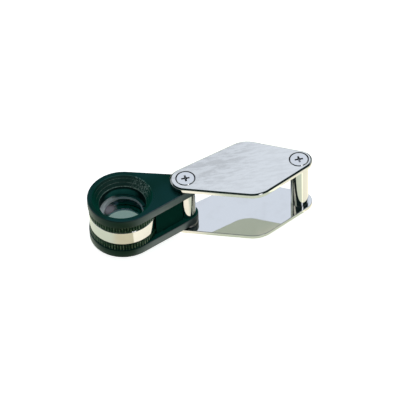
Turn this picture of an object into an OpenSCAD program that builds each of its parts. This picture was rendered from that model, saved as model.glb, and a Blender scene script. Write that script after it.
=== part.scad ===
// Folding triplet loupe: a lens holder that swings out of a two-plate case on a pivot post.
// Millimetres, +Z up. The origin is the centre of the case's underside, midway between the posts,
// and +X runs from the pivot post to the end post. The holder is modelled swung out.

/* [Case] */
// Distance between the axes of the pivot post and the end post
post_spacing = 35.2; // [34:0.1:42]
// Height of the closed case over both plates
case_h = 19.6; // [18.5:0.1:24]
// Thickness of each case plate
plate_t = 1.6; // [1.5:0.1:2]
// Width of the case plates at their widest point
plate_w = 23.4; // [20:0.1:28]
// Rounding radius of the plates round the pivot post
pivot_tip_r = 4.7; // [4:0.1:5.5]
// Rounding radius of the plates round the end post
end_tip_r = 4; // [3.6:0.1:5]
// Rounding radius of the plates' two side corners
side_r = 8; // [5:0.1:9]
// Rounding of the plates' edges
plate_edge_r = 0.7; // [0.2:0.1:0.7]

/* [Posts and screws] */
// Diameter of the pivot post
pivot_post_d = 5.6; // [5:0.1:6]
// Diameter of the end post
end_post_d = 5.6; // [5:0.1:6]
// Thread diameter of the case screws
screw_d = 3; // [2:0.1:3]
// Head diameter of the case screws
screw_head_d = 5.6; // [5:0.1:5.8]
// Length of the case screws over the head
screw_l = 6.6; // [4:0.1:7]
// Height of the straight rim of a screw head
head_rim_h = 0.2; // [0.1:0.05:0.3]
// Span of the cross recess in a screw head
recess_span = 2.9; // [2:0.1:3.4]
// Width of the cross recess
recess_w = 0.6; // [0.3:0.05:0.8]
// Depth of the cross recess
recess_depth = 0.8; // [0.4:0.05:1]

/* [Swing] */
// Angle that the holder is swung out from its place in the case
open_angle = 183.5; // [90:0.5:270]
// Gap between each case plate and the holder's arm
swing_gap = 0.45; // [0.4:0.05:0.8]
// Thickness of the flat washer under the holder
washer_t = 0.4; // [0.2:0.05:0.4]
// Thickness of the dished spring washer over the holder
spring_t = 0.2; // [0.1:0.05:0.3]
// Width of both washers' rims
washer_rim = 0.5; // [0.3:0.05:0.6]

/* [Arms] */
// Distance from the pivot axis to the lens axis
lens_distance = 19.85; // [18:0.05:21]
// Radius of the arms round the lens
arm_lens_r = 10.7; // [10.6:0.1:11.4]
// Radius of the arms round the pivot post
arm_pivot_r = 3.5; // [3.4:0.05:4.5]
// Thickness of each arm
arm_t = 2.9; // [2.6:0.05:3.2]
// Chamfer along the arms' edges
arm_chamfer = 0.2; // [0.1:0.05:0.4]
// Distance that the bridge lies behind the arms' edges
bridge_inset = 1.7; // [1:0.1:2.5]
// Distance from the pivot axis to the tips of the bridge
bridge_start = 2; // [1.5:0.1:2.6]
// Diameter of the dowels through the bridge
dowel_d = 1.5; // [1:0.1:2]
// Depth of the dowels in each arm
dowel_depth = 1.4; // [1:0.1:2]
// Distance of each dowel from the holder's centre line
dowel_offset = 2.5; // [2:0.1:2.8]

/* [Barrel] */
// Outer diameter of the inner barrel
barrel_d = 18.2; // [18:0.1:18.6]
// Wall of the inner barrel
barrel_wall = 0.6; // [0.4:0.05:0.7]
// Outer diameter of the bright band
band_d = 20.7; // [20:0.1:21]
// Outer diameter over the teeth of the knurled rings
knurl_d = 20.9; // [20.4:0.1:21.2]
// Height of each knurled ring
knurl_h = 2.35; // [1.5:0.05:3]
// Number of teeth on each knurled ring
knurl_teeth = 74; // [60:2:120]
// Depth of the grooves between the teeth
knurl_depth = 0.3; // [0.15:0.05:0.45]
// Width of the chamfers on the bright band
band_chamfer = 0.25; // [0.1:0.05:0.5]

/* [Eye and field bezels] */
// Diameter of the flange of each bezel
bezel_flange_d = 19.4; // [19.1:0.1:19.7]
// Thickness of the flange of each bezel
bezel_flange_t = 1.6; // [1.2:0.05:1.8]
// Width of the flat rim round the eye side's funnel
funnel_rim_w = 0.5; // [0.3:0.05:0.9]
// Wall between the funnel's waist and the bezel's thread
funnel_wall = 0.5; // [0.4:0.05:0.7]
// Distance from the flange down to the funnel's waist
funnel_waist_drop = 0.26; // [0.2:0.02:0.4]
// Diameter of the bores next to the lens cell
funnel_throat_d = 14.3; // [14:0.1:14.6]
// Depth of the ribbed funnel on the eye side
funnel_depth = 3.1; // [2:0.1:4]
// Number of ribs in the eye side's funnel
eye_ribs = 9; // [5:1:12]
// Diameter of the opening in the field side's face
field_stop_d = 9.8; // [8:0.1:12]
// Number of ribs behind the opening in the field side
field_ribs = 5; // [3:1:8]

/* [Lens cell] */
// Distance from the field side's face to the bottom of the lens cell
cell_inset = 1.85; // [1.7:0.05:2.1]
// Thickness of the lip under the glass
cell_lip_t = 1; // [0.6:0.05:1.2]
// Height of the cell over its lip
cell_h = 6.4; // [6.35:0.05:6.8]
// Diameter of the glass
glass_d = 13.9; // [13.4:0.1:14]
// Clear aperture of the lip and the retaining ring
aperture_d = 11.6; // [11:0.1:12.2]
// Wall of the cell round the glass
cell_wall = 0.6; // [0.4:0.05:0.62]
// Outer diameter of the retaining ring
ring_d = 14.8; // [14.5:0.1:15]
// Inner diameter of the retaining ring's flat top
ring_flat_d = 12.3; // [12.3:0.1:13.4]
// Thickness of the retaining ring
ring_t = 0.8; // [0.7:0.05:0.9]
// Width of the two spanner slots in the retaining ring
slot_w = 0.9; // [0.5:0.05:1.4]
// Depth of the two spanner slots
slot_depth = 0.4; // [0.2:0.05:0.6]

/* [Glass] */
// Thickness of the cemented triplet at its edge
glass_edge_t = 4.7; // [4.6:0.05:5]
// Radius of the triplet's two outer surfaces
outer_curve_r = 21.3; // [18:0.1:30]
// Radius of the two cemented surfaces
inner_curve_r = 11.3; // [11:0.1:14]
// Thickness of the crown element at its centre
crown_t = 5; // [4.9:0.05:5.4]
// Thickness of the cement between the elements
cement_t = 0.02; // [0.01:0.01:0.05]

/* [Clearances] */
// Clearance between the glass and what it is clamped between
seat_clearance = 0.02; // [0.01:0.01:0.04]
// Radial clearance of the pivot bores on the pivot post
pivot_clearance = 0.05; // [0.02:0.01:0.1]
// Clearance round a screw's thread and head
screw_clearance = 0.08; // [0.03:0.01:0.1]
// Radial clearance between pieces that screw or slide together
fit_clearance = 0.03; // [0.01:0.01:0.05]
// Clearance between the bridge and the posts and rings that it curves round
bridge_clearance = 0.3; // [0.2:0.05:0.5]

/* [Hidden] */
$fn = 96;

hull_fn = 48;
arc_step = 15;
cut = 1;
pivot_x = -post_spacing / 2;
end_x = post_spacing / 2;
pivot_r = pivot_post_d / 2;
post_h = case_h - 2 * plate_t;
head_r = screw_head_d / 2;
screw_r = screw_d / 2;
tapped_depth = screw_l - plate_t + 1;

// Levels of the holder, from the underside up
arm_low_z = plate_t + swing_gap;
arm_high_z = case_h - plate_t - swing_gap - arm_t;
holder_top_z = arm_high_z + arm_t;
between_z = arm_low_z + arm_t;
between_h = arm_high_z - between_z;
band_z = between_z + knurl_h;
band_h = between_h - 2 * knurl_h;

// Radii of the parts that fit round the lens axis
barrel_r = barrel_d / 2;
barrel_bore_r = barrel_r - barrel_wall;
sleeve_bore_r = barrel_r + fit_clearance;
thread_r = barrel_bore_r - fit_clearance;
flange_r = bezel_flange_d / 2;
funnel_mouth_d = bezel_flange_d - 2 * funnel_rim_w;
mouth_r = funnel_mouth_d / 2;
waist_r = thread_r - funnel_wall;
waist_depth = bezel_flange_t + funnel_waist_drop;
throat_r = funnel_throat_d / 2;
glass_r = glass_d / 2;
glass_bore_r = glass_r + fit_clearance;
nose_r = glass_bore_r + cell_wall;
ring_r = ring_d / 2;
ring_flat_r = ring_flat_d / 2;
aperture_r = aperture_d / 2;
stop_r = field_stop_d / 2;

// Lines of the ribbed funnels, as depth and radius
eye_line = [[0, mouth_r], [waist_depth, waist_r], [funnel_depth, throat_r]];
field_line = [[0, throat_r], [cell_inset, stop_r]];

// Levels inside the barrel
cell_z = arm_low_z + cell_inset;
glass_z = cell_z + cell_lip_t;
shoulder_z = band_z;
cell_top_z = glass_z + cell_h;

// The domed glass touches the lip and the ring at the edge of their apertures
seat_rise = sag(glass_r, outer_curve_r) - sag(aperture_r, outer_curve_r) + seat_clearance;
glass_mid_z = glass_z + seat_rise + glass_edge_t / 2;
ring_z = glass_mid_z + glass_edge_t / 2 + seat_rise;

// The arms' straight sides touch both of their end circles
arm_slope = asin((arm_lens_r - arm_pivot_r) / lens_distance);
function arm_half_width(x) = (arm_pivot_r + x * sin(arm_slope)) / cos(arm_slope);
function sag(r, curve_r) = curve_r - sqrt(curve_r * curve_r - r * r);

chrome = [0.82, 0.84, 0.87];
bright = [0.88, 0.87, 0.80];
black = [0.07, 0.19, 0.17];
dark = [0.03, 0.10, 0.09];
glass = [0.72, 0.84, 0.86, 0.5];

// Outline of half a disc with rounded edges, to be turned about Z
function rounded_profile(r, t, e) = concat(
  [[0, 0]],
  [for (a = [-90:arc_step:0]) [r - e + e * cos(a), e + e * sin(a)]],
  [for (a = [0:arc_step:90]) [r - e + e * cos(a), t - e + e * sin(a)]],
  [[0, t]]
);
function chamfered_profile(r, t, c) =
  [[0, 0], [r - c, 0], [r, c], [r, t - c], [r - c, t], [0, t]];

// Steps down a funnel whose line is given as pairs of depth and radius, from its wide end at depth 0
function funnel_steps(line, ribs) =
  let (depth = line[len(line) - 1][0])
  [
    for (i = [0:ribs - 1], half = [0, 1])
      [
        lookup(depth * (i + half) / ribs, line),
        depth * i / ribs
      ]
  ];

module turned(points) {
  rotate_extrude() polygon(points);
}

// A ring between two radii, standing on z
module ring(outer_r, inner_r, z, h) {
  translate([0, 0, z])
    difference() {
      cylinder(r = outer_r, h = h);
      translate([0, 0, -cut]) cylinder(r = inner_r, h = h + 2 * cut);
    }
}

module at_pivot() {
  translate([pivot_x, 0, 0]) children();
}

module at_end() {
  translate([end_x, 0, 0]) children();
}

// The holder's own frame: X runs from the pivot axis to the lens axis
module in_holder() {
  at_pivot() rotate([0, 0, open_angle]) children();
}

module at_lens() {
  in_holder() translate([lens_distance, 0, 0]) children();
}

// Turns a piece that stands on z = 0 over, so that it hangs from the given height
module hung_from(z) {
  translate([0, 0, z]) mirror([0, 0, 1]) children();
}

module plate_disc(r) {
  rotate_extrude($fn = hull_fn) polygon(rounded_profile(r, plate_t, plate_edge_r));
}

// Hole for a countersunk screw whose head is flush with z = 0
module countersink() {
  cone_h = head_r - screw_r;
  translate([0, 0, -cut]) cylinder(r = screw_r + screw_clearance, h = plate_t + 2 * cut);
  translate([0, 0, -cut]) cylinder(r = head_r + screw_clearance, h = head_rim_h + cut);
  translate([0, 0, head_rim_h])
    cylinder(r1 = head_r + screw_clearance, r2 = screw_r + screw_clearance, h = cone_h);
}

// Kite-shaped plate with its outer face on z = 0
module case_plate() {
  belly_x = pivot_x + lens_distance;
  belly_y = plate_w / 2 - side_r;
  difference() {
    hull() {
      at_pivot() plate_disc(pivot_tip_r);
      at_end() plate_disc(end_tip_r);
      translate([belly_x, belly_y, 0]) plate_disc(side_r);
      translate([belly_x, -belly_y, 0]) plate_disc(side_r);
    }
    at_pivot() countersink();
    at_end() countersink();
  }
}

// Post between the plates, tapped at both ends
module post(r) {
  translate([0, 0, plate_t])
    difference() {
      cylinder(r = r, h = post_h);
      for (end = [0, 1])
        translate([0, 0, end * post_h - (1 - end) * cut - end * tapped_depth])
          cylinder(r = screw_r + fit_clearance, h = tapped_depth + cut);
    }
}

// Countersunk screw with a cross recess, its head's face on z = 0
module case_screw() {
  cone_h = head_r - screw_r;
  difference() {
    union() {
      cylinder(r = head_r, h = head_rim_h);
      translate([0, 0, head_rim_h]) cylinder(r1 = head_r, r2 = screw_r, h = cone_h);
      cylinder(r = screw_r, h = screw_l);
    }
    for (turn = [0, 90])
      rotate([0, 0, turn])
        translate([-recess_span / 2, -recess_w / 2, -cut])
          cube([recess_span, recess_w, recess_depth + cut]);
  }
}

module case_plate_bottom() {
  color(chrome) case_plate();
}

module case_plate_top() {
  color(chrome) hung_from(case_h) case_plate();
}

module pivot_post() {
  color(bright) at_pivot() post(pivot_r);
}

module end_post() {
  color(bright) at_end() post(end_post_d / 2);
}

module pivot_screw_bottom() {
  color(chrome) at_pivot() case_screw();
}

module pivot_screw_top() {
  color(chrome) at_pivot() hung_from(case_h) case_screw();
}

module end_screw_bottom() {
  color(chrome) at_end() case_screw();
}

module end_screw_top() {
  color(chrome) at_end() hung_from(case_h) case_screw();
}

// Flat washer that carries the lower arm
module thrust_washer() {
  bore_r = pivot_r + pivot_clearance;
  color(bright) at_pivot() ring(bore_r + washer_rim, bore_r, plate_t, washer_t);
}

// Dished washer that presses on the upper arm and gives the swing its drag
module spring_washer() {
  bore_r = pivot_r + pivot_clearance;
  rim_r = bore_r + washer_rim;
  low_z = holder_top_z + pivot_clearance / 2;
  high_z = case_h - plate_t;
  color(bright)
    at_pivot()
      turned([[bore_r, high_z - spring_t], [rim_r, low_z], [rim_r, low_z + spring_t], [bore_r, high_z]]);
}

module arm_disc(r) {
  rotate_extrude($fn = hull_fn) polygon(chamfered_profile(r, arm_t, arm_chamfer));
}

// Arm with its outer face on z = 0: pivot bore, bezel seat and blind dowel holes
module arm() {
  difference() {
    hull() {
      arm_disc(arm_pivot_r);
      translate([lens_distance, 0, 0]) arm_disc(arm_lens_r);
    }
    translate([0, 0, -cut]) cylinder(r = pivot_r + pivot_clearance, h = arm_t + 2 * cut);
    translate([lens_distance, 0, -cut]) cylinder(r = barrel_bore_r, h = arm_t + 2 * cut);
    translate([lens_distance, 0, -cut])
      cylinder(r = flange_r + fit_clearance, h = bezel_flange_t + cut);
    dowels(arm_t - dowel_depth, dowel_depth + cut, fit_clearance);
  }
}

// Middle of the bridge, between the saddle at the pivot post and the barrel
function dowel_x() =
  (pivot_r + bridge_clearance + lens_distance - knurl_d / 2 - bridge_clearance) / 2;

module dowels(z, h, gap) {
  for (side = [-1, 1])
    translate([dowel_x(), side * dowel_offset, z]) cylinder(r = dowel_d / 2 + gap, h = h);
}

module arm_lower() {
  color(black) in_holder() translate([0, 0, arm_low_z]) arm();
}

module arm_upper() {
  color(black) in_holder() hung_from(holder_top_z) arm();
}

// Block that joins the arms, hollowed round the pivot post and the knurled rings
module arm_bridge() {
  near = bridge_start;
  far = lens_distance - knurl_d / 4;
  near_y = arm_half_width(near) - bridge_inset;
  far_y = arm_half_width(far) - bridge_inset;
  color(dark)
    in_holder()
      translate([0, 0, between_z])
        difference() {
          linear_extrude(height = between_h)
            polygon([[near, -near_y], [far, -far_y], [far, far_y], [near, near_y]]);
          translate([0, 0, -cut])
            cylinder(r = pivot_r + bridge_clearance, h = between_h + 2 * cut);
          translate([lens_distance, 0, -cut])
            cylinder(r = knurl_d / 2 + bridge_clearance, h = between_h + 2 * cut);
          dowels(-cut, between_h + 2 * cut, fit_clearance);
        }
}

module bridge_dowels() {
  end_gap = fit_clearance;
  color(chrome)
    in_holder()
      dowels(between_z - dowel_depth + end_gap, between_h + 2 * (dowel_depth - end_gap), 0);
}

// Threaded tube that the two bezels draw the arms and the rings on to
module lens_barrel() {
  color(dark) at_lens() ring(barrel_r, barrel_bore_r, between_z, between_h);
}

module barrel_band() {
  band_r = band_d / 2;
  top_z = band_z + band_h;
  color(bright)
    at_lens()
      turned([
        [sleeve_bore_r, band_z],
        [band_r - band_chamfer, band_z],
        [band_r, band_z + band_chamfer],
        [band_r, top_z - band_chamfer],
        [band_r - band_chamfer, top_z],
        [sleeve_bore_r, top_z]
      ]);
}

// Ring with straight knurling
module knurled_ring(z) {
  tip_r = knurl_d / 2;
  root_r = tip_r - knurl_depth;
  pitch = 360 / knurl_teeth;
  translate([0, 0, z])
    difference() {
      linear_extrude(height = knurl_h)
        polygon([
          for (i = [0:knurl_teeth - 1], half = [0, 1])
            let (r = half == 0 ? tip_r : root_r, a = (i + half / 2) * pitch)
              [r * cos(a), r * sin(a)]
        ]);
      translate([0, 0, -cut]) cylinder(r = sleeve_bore_r, h = knurl_h + 2 * cut);
    }
}

module knurled_ring_lower() {
  color(black) at_lens() knurled_ring(between_z);
}

module knurled_ring_upper() {
  color(black) at_lens() knurled_ring(arm_high_z - knurl_h);
}

// Field side: flange in the lower arm, threaded skirt round the nose of the cell. Its face is flat,
// and ribs widen from the opening up to the cell.
module bezel_field() {
  color(black)
    at_lens()
      turned(concat(
        [for (p = funnel_steps(field_line, field_ribs)) [p[0], cell_z - p[1]]],
        [
          [stop_r, arm_low_z],
          [flange_r, arm_low_z],
          [flange_r, arm_low_z + bezel_flange_t],
          [thread_r, arm_low_z + bezel_flange_t],
          [thread_r, shoulder_z],
          [nose_r + fit_clearance, shoulder_z],
          [nose_r + fit_clearance, cell_z]
        ]
      ));
}

// Eye side: flange in the upper arm, threaded tube that holds the cell down
module bezel_eye() {
  color(black)
    at_lens()
      turned(concat(
        [for (p = funnel_steps(eye_line, eye_ribs)) [p[0], holder_top_z - p[1]]],
        [
          [throat_r, holder_top_z - funnel_depth],
          [throat_r, cell_top_z],
          [thread_r, cell_top_z],
          [thread_r, holder_top_z - bezel_flange_t],
          [flange_r, holder_top_z - bezel_flange_t],
          [flange_r, holder_top_z]
        ]
      ));
}

// Shouldered cell: a lip under the glass and a threaded seat for the retaining ring
module lens_cell() {
  color(dark)
    at_lens()
      turned([
        [throat_r, cell_z],
        [nose_r, cell_z],
        [nose_r, shoulder_z],
        [thread_r, shoulder_z],
        [thread_r, cell_top_z],
        [ring_r + fit_clearance, cell_top_z],
        [ring_r + fit_clearance, ring_z],
        [glass_bore_r, ring_z],
        [glass_bore_r, glass_z],
        [aperture_r, glass_z],
        [aperture_r, glass_z - cell_lip_t / 4]
      ]);
}

// Bevelled ring over the glass, with two spanner slots
module retaining_ring() {
  color(black)
    at_lens()
      difference() {
        turned([
          [aperture_r, ring_z],
          [ring_r, ring_z],
          [ring_r, ring_z + ring_t],
          [ring_flat_r, ring_z + ring_t],
          [aperture_r, ring_z + ring_t / 4]
        ]);
        translate([-ring_r - cut, -slot_w / 2, ring_z + ring_t - slot_depth])
          cube([2 * (ring_r + cut), slot_w, slot_depth + cut]);
      }
}

// Biconvex middle element
module crown_lens() {
  rise = inner_curve_r - crown_t / 2;
  color(glass)
    at_lens()
      translate([0, 0, glass_mid_z])
        intersection() {
          translate([0, 0, -crown_t / 2]) cylinder(r = glass_r, h = crown_t);
          translate([0, 0, -rise]) sphere(r = inner_curve_r);
          translate([0, 0, rise]) sphere(r = inner_curve_r);
        }
}

// Meniscus over the crown, its hollow face down
module flint() {
  edge_z = glass_edge_t / 2;
  dome_z = edge_z + sag(glass_r, outer_curve_r);
  rise = inner_curve_r - crown_t / 2;
  difference() {
    intersection() {
      cylinder(r = glass_r, h = dome_z);
      translate([0, 0, dome_z - outer_curve_r]) sphere(r = outer_curve_r);
    }
    translate([0, 0, -rise]) sphere(r = inner_curve_r + cement_t);
  }
}

module flint_eye() {
  color(glass) at_lens() translate([0, 0, glass_mid_z]) flint();
}

module flint_field() {
  color(glass) at_lens() hung_from(glass_mid_z) flint();
}

case_plate_bottom();
case_plate_top();
pivot_post();
end_post();
pivot_screw_bottom();
pivot_screw_top();
end_screw_bottom();
end_screw_top();
thrust_washer();
spring_washer();
arm_lower();
arm_upper();
arm_bridge();
bridge_dowels();
lens_barrel();
barrel_band();
knurled_ring_lower();
knurled_ring_upper();
bezel_field();
bezel_eye();
lens_cell();
retaining_ring();
flint_field();
crown_lens();
flint_eye();
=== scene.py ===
"""Looks of a folding triplet loupe: a bright two-plate case with a black lens holder swung out of it."""

import math

import bmesh
import bpy
from mathutils import Matrix, Vector


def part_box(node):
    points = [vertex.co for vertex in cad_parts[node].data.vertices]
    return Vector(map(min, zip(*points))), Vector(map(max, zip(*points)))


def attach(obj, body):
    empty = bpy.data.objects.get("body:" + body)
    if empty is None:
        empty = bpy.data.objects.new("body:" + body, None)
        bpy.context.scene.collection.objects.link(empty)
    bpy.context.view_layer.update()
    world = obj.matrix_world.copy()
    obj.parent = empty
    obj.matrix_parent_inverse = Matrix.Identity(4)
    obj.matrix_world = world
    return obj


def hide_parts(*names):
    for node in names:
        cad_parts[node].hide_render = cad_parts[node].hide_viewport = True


bl_info = {
    "name": "Folding loupe",
    "version": (1, 0, 0),
    "blender": (4, 5, 0),
    "location": "View3D > Sidebar > Loupe",
    "description": "Dresses the frame of a folding triplet loupe in its finished surfaces",
    "category": "Object",
}

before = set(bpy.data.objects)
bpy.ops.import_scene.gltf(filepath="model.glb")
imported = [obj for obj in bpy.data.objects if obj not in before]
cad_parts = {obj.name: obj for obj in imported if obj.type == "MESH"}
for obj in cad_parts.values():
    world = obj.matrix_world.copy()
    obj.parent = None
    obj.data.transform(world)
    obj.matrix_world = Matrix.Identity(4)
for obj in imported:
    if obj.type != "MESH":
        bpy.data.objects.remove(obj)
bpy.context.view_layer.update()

MM = 0.001
TURN = 2 * math.pi
ROUND_STEPS = 144
ROUND_ANGLES = [TURN * i / ROUND_STEPS for i in range(ROUND_STEPS)]
SHARP_ANGLE = math.radians(30)

# Distance of the extra row that keeps a flat face flat up to its edge
SUPPORT = 0.012 * MM
# Distance under which vertices become one
WELD = 0.0005 * MM
# Clearance between pieces that screw or slide together
FIT = 0.03 * MM
# Wall of the lens cell round the glass
CELL_WALL = 0.6 * MM


# Places and sizes taken from the frame

def axis_of(node):
    """Middle of a node's box, which is on its axis if it is a turned piece."""
    low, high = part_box(node)
    return (low + high) / 2


def outer_radius(node):
    low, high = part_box(node)
    return (high.x - low.x) / 2


def bore_radius(node):
    """Distance from a node's axis to its nearest point."""
    middle = axis_of(node)
    return min((v.co - middle).xy.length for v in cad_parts[node].data.vertices)


def levels(node):
    low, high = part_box(node)
    return low.z, high.z


PIVOT = axis_of("pivot_post")
END = axis_of("end_post")
LENS = axis_of("barrel_band")
ALONG_HOLDER = (LENS - PIVOT).xy.normalized()
LENS_DISTANCE = (LENS - PIVOT).xy.length
ARM_LENS_R = LENS.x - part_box("arm_upper")[0].x
ARM_PIVOT_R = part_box("arm_upper")[1].x - PIVOT.x
PLATE_Z = levels("case_plate_top")[1]
CELL_TOP_Z = levels("lens_cell")[1]
# Middle of the retaining ring's flat top and bevel
RING_R = 6.4 * MM


# Settings

def length(name, default, description):
    """Length whose default is given in millimetres."""
    return bpy.props.FloatProperty(
        name=name, description=description, default=default * MM, min=0, precision=5, unit="LENGTH"
    )


def angle(name, degrees, description):
    return bpy.props.FloatProperty(
        name=name, description=description, default=math.radians(degrees), unit="ROTATION"
    )


def number(name, default, least, description):
    return bpy.props.IntProperty(name=name, description=description, default=default, min=least)


def colour(name, default, description):
    return bpy.props.FloatVectorProperty(
        name=name, description=description, default=default, min=0, max=2, size=3, subtype="COLOR"
    )


class CaseSettings(bpy.types.PropertyGroup):
    """Sizes of the bright case"""

    side_r: length("Side corner", 8, "Radius of the two side corners of the plates")
    bevel_w: length("Bevel width", 0.52, "Width of the bevel round the plates' outer faces")
    bevel_drop: length("Bevel drop", 0.4, "Height of the bevel round the plates' outer faces")
    inner_edge_r: length("Inner edge", 0.25, "Rounding of the plates' inner edges")
    head_gap: length("Head gap", 0.18, "Gap round each screw head")
    head_rim: length("Head rim", 0.2, "Straight rim of each screw head")
    head_chamfer: length("Head chamfer", 0.16, "Chamfer round each screw head")
    seat_chamfer: length("Seat chamfer", 0.1, "Chamfer round each hole for a screw head")
    recess_span: length("Recess span", 2.6, "Span of the cross recess in a screw head")
    recess_w: length("Recess width", 0.6, "Width of the cross recess in a screw head")
    recess_depth: length("Recess depth", 0.5, "Depth of the cross recess in a screw head")
    screw_d: length("Thread", 3, "Thread diameter of the case screws")


class HolderSettings(bpy.types.PropertyGroup):
    """Sizes of the swinging lens holder"""

    arm_edge_r: length("Arm edge", 0.2, "Rounding of the arms' edges")
    flange_t: length("Flange", 1.6, "Thickness of the bezels' flanges")
    mouth_d: length("Funnel mouth", 18.4, "Diameter of the eye side's funnel at the face")
    eye_depth: length("Funnel depth", 3.1, "Depth of the ribbed funnel on the eye side")
    eye_ribs: number("Eye ribs", 9, 3, "Ribs in the funnel on the eye side")
    field_ribs: number("Field ribs", 5, 3, "Ribs behind the opening on the field side")
    teeth: number("Knurl teeth", 74, 12, "Teeth on each knurled ring")
    tooth_depth: length("Tooth depth", 0.3, "Depth of the grooves between the teeth")
    band_chamfer: length("Band chamfer", 0.25, "Chamfer along the bright band")
    ring_flat_d: length("Ring's flat", 12.3, "Inner diameter of the retaining ring's flat top")
    slot_w: length("Spanner slot", 0.9, "Width of the two slots in the retaining ring")
    slot_depth: length("Slot depth", 0.4, "Depth of the two slots in the retaining ring")
    glass_curve: length("Lens curve", 21.3, "Radius of the triplet's outer surfaces")


class ColourSettings(bpy.types.PropertyGroup):
    """Colours of the finishes"""

    chrome: colour("Chrome", (0.62, 0.635, 0.65), "Bright plating of the case and band")
    brushed: colour("Brushed", (0.675, 0.685, 0.68), "Brushed plating where it is brightest")
    # The streaks' tone is also the tone of the painted shade on the plates
    streak: colour("Streaks", (0.5, 0.505, 0.5), "Darker streaks in the brushed plating")
    face: colour("Arm faces", (0.003, 0.029, 0.021), "Dyed faces of the arms")
    drift: colour("Arm drift", (0.006, 0.04, 0.038), "Bluer dye towards which the faces drift")
    # Painted light on the arms' edges: the first tone at the front of the lens end, the lighter second
    # one elsewhere
    edge: colour("Arm edges", (0.007, 0.025, 0.02), "Turned edges of the arms where they keep their dye")
    painted_sheen: colour("Worn edges", (0.084, 0.112, 0.13), "Edges of the arms where fingers have rubbed them")
    funnel: colour("Funnel", (0.001, 0.056, 0.036), "Satin wall of the eye side's funnel")
    # Painted light at the back of the funnel
    haze: colour("Funnel haze", (0.035, 0.1, 0.085), "Back of the funnel, where the light comes in")
    # Painted light: a tone far lighter than the black dye, for the cell and ribs in the dim bore
    field: colour("Field ribs", (0.004, 0.4, 0.33), "Cell, and ribs behind the field side's opening")
    # Painted light on the tube's wall, which its finish darkens as painted shade under the funnel and at
    # the sides
    tube: colour("Tube", (0.05, 0.33, 0.3), "Wall of the tube over the glass")
    inner: colour("Inside", (0.003, 0.034, 0.026), "Dye of the barrel and the bridge")
    # Painted light: a lighter copy of the arms' dye for the shade between them
    between: colour("Between the arms", (0.006, 0.09, 0.07), "Dye of the arms' inner faces")
    knurl: colour("Knurling", (0.006, 0.027, 0.017), "Black of the knurled rings")
    tooth: colour("Tooth crests", (0.06, 0.095, 0.075), "Crests of the knurling")
    # Painted highlight: the sheen on the ribs' crests at the back, and the glints at the funnel's right
    crest: colour("Crests", (0.4, 0.55, 0.5), "Rubbed crests of the ribs")
    ring: colour("Ring", (0.016, 0.11, 0.1), "Retaining ring")
    # Painted highlight on the ring's flat top at its left
    rubbed: colour("Rubbed ring", (0.92, 1, 1), "Retaining ring where a tool has rubbed it")
    # Painted reflection on the ring's bevel, and a lighter painted highlight at its left
    bevel: colour("Ring bevel", (0.46, 0.62, 0.64), "Bevel inside the retaining ring")
    bare: colour("Bare bevel", (0.92, 1, 1), "Bevel of the retaining ring where it is bare")
    # Painted reflection on the glass at its left
    painted_reflection: colour("Bloom", (0.6, 0.56, 0.62), "Bloom on the glass at its left")
    steel: colour("Steel", (0.5, 0.5, 0.48), "Washers and dowels")
    # Painted shade in the recesses and in the gaps round the screw heads, a dark tone and a lighter one
    dirt: colour("Dirt", (0.005, 0.008, 0.01), "Dirt in the recesses and round the screw heads")
    recess_shade_light: colour("Dull plating", (0.26, 0.27, 0.29), "Dull plating beside the dirt")
    rim: colour("Glass rim", (0.004, 0.14, 0.115), "Blackened edge of the glass")
    rim_spots: colour("Rim spots", (0.01, 0.18, 0.15), "Thinner spots of the blackened edge")
    glass: colour("Glass", (0.41, 0.61, 0.68), "Glass of the triplet")
    dust: colour("Dust", (0.46, 0.64, 0.7), "Dust on the glass")
    coating: colour("Coating", (0.22, 0.2, 0.32), "Coating that tints the glass's reflections")


class StageSettings(bpy.types.PropertyGroup):
    """Camera, light and floor"""

    target: bpy.props.FloatVectorProperty(
        name="Target",
        description="Point at the middle of the picture, measured from the foot of the pivot",
        default=(4.218 * MM, 0.114 * MM, 9 * MM),
        size=3,
        subtype="TRANSLATION",
    )
    azimuth: angle("Azimuth", -9.813, "Camera's turn round the object")
    elevation: angle("Elevation", 46.086, "Camera's height over the floor")
    roll: angle("Roll", -2.494, "Camera's lean")
    distance: length("Distance", 970.6, "Distance from the camera to its target")
    focal: bpy.props.FloatProperty(
        name="Focal length", description="Focal length in millimetres", default=286.4, min=20
    )
    floor: colour("Floor", (0.5, 0.52, 0.4), "Cream floor as the metal reflects it")
    # Painted light and shade on the floor: a shadow in front of the lens holder, a pool of light beside
    # it, lighter floor and a light stripe by the end post
    warm: colour("Floor's warm part", (0.51, 0.46, 0.31), "Floor in front of the lens holder")
    patch: colour("Floor's light patch", (0.85, 0.78, 0.62), "Patch of floor beside the lens holder")
    right: colour("Floor's right part", (0.72, 0.67, 0.52), "Floor at the right of the end post")
    stripe: colour("Floor's stripe", (0.95, 0.92, 0.68), "Light stripe of floor before the end post")
    sky: colour("Sky", (1.0, 1.06, 1.16), "Studio's white ceiling")
    lamp: colour("Lamp", (2, 2, 2), "Small bright panel at the front right")
    wall: colour("Wall", (0.42, 0.45, 0.44), "Studio's wall, all round and below the ceiling")
    dark: colour("Dark", (0.012, 0.026, 0.023), "Unlit part of the studio")
    even: colour("Even light", (0.9, 0.92, 0.94), "Light that reaches matt things from all round")


class LoupeSettings(bpy.types.PropertyGroup):
    """All settings of the loupe"""

    case: bpy.props.PointerProperty(type=CaseSettings)
    holder: bpy.props.PointerProperty(type=HolderSettings)
    colours: bpy.props.PointerProperty(type=ColourSettings)
    stage: bpy.props.PointerProperty(type=StageSettings)


# Outlines and profiles

def point_at(centre, radius, angle):
    return Vector((centre[0] + radius * math.cos(angle), centre[1] + radius * math.sin(angle)))


def arc(centre, radius, start, end, steps):
    return [point_at(centre, radius, start + (end - start) * i / steps) for i in range(steps + 1)]


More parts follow.
